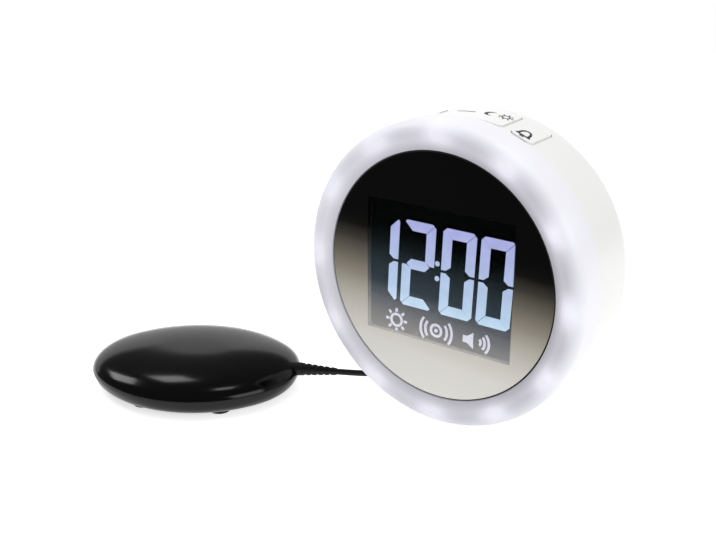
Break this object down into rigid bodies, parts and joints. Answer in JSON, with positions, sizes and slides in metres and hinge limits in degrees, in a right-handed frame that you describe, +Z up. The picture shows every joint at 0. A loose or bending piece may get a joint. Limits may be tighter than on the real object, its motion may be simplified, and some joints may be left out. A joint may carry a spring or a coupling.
{
  "type": "bed shaker alarm clock",
  "caption": "Round digital alarm clock with a mirror dial and a lit ring, and an oval vibrating bed pad on a coiled cord that plugs into its back.",
  "frame": {"origin": "on the table at the middle of the clock's foot, whose rubber sole rests there", "axes": "+X to the right of one who reads the dial, +Y from the dial to the back, +Z up"},
  "size_m": [0.1903, 0.1878, 0.1137],
  "materials": {
    "frosted_ring": "frosted translucent",
    "mirror_dial": "half-mirror acrylic",
    "black_gasket": "matte",
    "white_inner_plastic": "matte",
    "white_circuit_board": "solder resist",
    "ring_lamp": "clear resin",
    "black_plastic": "satin",
    "display_glass": "clear",
    "lit_figure": "lit",
    "diffuser": "translucent",
    "contact_rubber": "matte",
    "circuit_board": "solder resist",
    "board_component": "matte",
    "white_plastic": "satin",
    "foot_rubber": "matte",
    "zinc_steel": "zinc plated",
    "switch_plastic": "matte",
    "grey_key_plastic": "satin",
    "socket_plastic": "satin",
    "nickel": "nickel plated",
    "cord_vinyl": "satin vinyl",
    "tie_vinyl": "matte vinyl",
    "speaker_paper": "paper",
    "cell_steel": "bright",
    "ribbon_vinyl": "vinyl",
    "pad_plastic": "satin",
    "motor_steel": "bright",
    "weight_metal": "sintered"
  },
  "bodies": {
    "clock": {"light_ring": "frosted_ring", "dial_lens": "mirror_dial", "lens_gasket": "black_gasket", "front_frame": "white_inner_plastic", "led_board": "white_circuit_board", "ring_leds": "ring_lamp", "lcd_holder": "black_plastic", "lcd_glass": "display_glass", "lcd_digits": "lit_figure", "lcd_icons": "lit_figure", "backlight_diffuser": "diffuser", "elastomer_strips": "contact_rubber", "main_board": "circuit_board", "main_board_parts": "board_component", "rear_case": "white_plastic", "foot_pad": "foot_rubber", "case_screws": "zinc_steel", "board_screws": "zinc_steel", "rear_board": "circuit_board", "rear_switches": "switch_plastic", "control_pots": "switch_plastic", "mode_switch": "switch_plastic", "top_board": "circuit_board", "top_switches": "switch_plastic", "dc_inlet": "socket_plastic", "shaker_jack": "socket_plastic", "speaker_frame": "zinc_steel", "speaker_magnet": "nickel", "speaker_surround": "contact_rubber", "coin_cell": "cell_steel", "battery_contacts": "nickel", "ribbon_cable": "ribbon_vinyl"},
    "snooze": {"snooze_bar": "white_plastic"},
    "left_top": {"left_top_key": "white_plastic"},
    "right_top": {"right_top_key": "white_plastic"},
    "time": {"time_key": "grey_key_plastic"},
    "alarm": {"alarm_key": "grey_key_plastic"},
    "down": {"down_key": "grey_key_plastic"},
    "up": {"up_key": "grey_key_plastic"},
    "volume": {"volume_knob": "grey_key_plastic"},
    "tone": {"tone_knob": "grey_key_plastic"},
    "mode": {"mode_lever": "grey_key_plastic"},
    "door": {"battery_door": "white_plastic"},
    "cone": {"speaker_cone": "speaker_paper"},
    "shaker": {"pad_upper_shell": "pad_plastic", "pad_lower_shell": "pad_plastic", "pad_feet": "foot_rubber", "pad_screws": "zinc_steel", "motor_can": "motor_steel", "motor_clamp": "zinc_steel", "pad_boot": "cord_vinyl", "cord_pad_run": "cord_vinyl", "cord_coil": "cord_vinyl", "cord_plug_run": "cord_vinyl", "cord_tie": "tie_vinyl", "plug_body": "cord_vinyl", "plug_pin": "nickel"},
    "rotor": {"motor_shaft": "zinc_steel", "eccentric_weight": "weight_metal"}
  },
  "joints": [
    {"name": "snooze_press", "type": "slide", "parent": "clock", "child": "snooze", "axis": [0, 0, -1], "range_m": [0, 0.0008], "stiffness_N_per_m": 1200},
    {"name": "left_top_press", "type": "slide", "parent": "clock", "child": "left_top", "axis": [0, 0, -1], "range_m": [0, 0.0008], "stiffness_N_per_m": 1200},
    {"name": "right_top_press", "type": "slide", "parent": "clock", "child": "right_top", "axis": [0, 0, -1], "range_m": [0, 0.0008], "stiffness_N_per_m": 1200},
    {"name": "time_press", "type": "slide", "parent": "clock", "child": "time", "axis": [0, -1, 0], "range_m": [0, 0.0006], "stiffness_N_per_m": 1200},
    {"name": "alarm_press", "type": "slide", "parent": "clock", "child": "alarm", "axis": [0, -1, 0], "range_m": [0, 0.0006], "stiffness_N_per_m": 1200},
    {"name": "down_press", "type": "slide", "parent": "clock", "child": "down", "axis": [0, -1, 0], "range_m": [0, 0.0006], "stiffness_N_per_m": 1200},
    {"name": "up_press", "type": "slide", "parent": "clock", "child": "up", "axis": [0, -1, 0], "range_m": [0, 0.0006], "stiffness_N_per_m": 1200},
    {"name": "volume_turn", "type": "hinge", "parent": "clock", "child": "volume", "pos_m": [-0.029, 0.02, 0.0713], "axis": [0, 1, 0], "range_deg": [-135, 135]},
    {"name": "tone_turn", "type": "hinge", "parent": "clock", "child": "tone", "pos_m": [0.029, 0.02, 0.0713], "axis": [0, 1, 0], "range_deg": [-135, 135]},
    {"name": "mode_slide", "type": "slide", "parent": "clock", "child": "mode", "axis": [1, 0, 0], "range_m": [-0.003, 0.003]},
    {"name": "battery_door_twist", "type": "hinge", "parent": "clock", "child": "door", "pos_m": [0, 0.0193, 0.0303], "axis": [0, 1, 0], "range_deg": [0, 40]},
    {"name": "cone_travel", "type": "slide", "parent": "clock", "child": "cone", "axis": [0, 1, 0], "range_m": [-0.0006, 0.0006], "stiffness_N_per_m": 800},
    {"name": "shaker_unplug", "type": "slide", "parent": "clock", "child": "shaker", "axis": [0, 1, 0], "range_m": [0, 0.016]},
    {"name": "rotor_spin", "type": "hinge", "parent": "shaker", "child": "rotor", "pos_m": [-0.0941, -0.0534, 0.008], "axis": [0.8988, 0.4384, 0], "continuous": true}
  ]
}
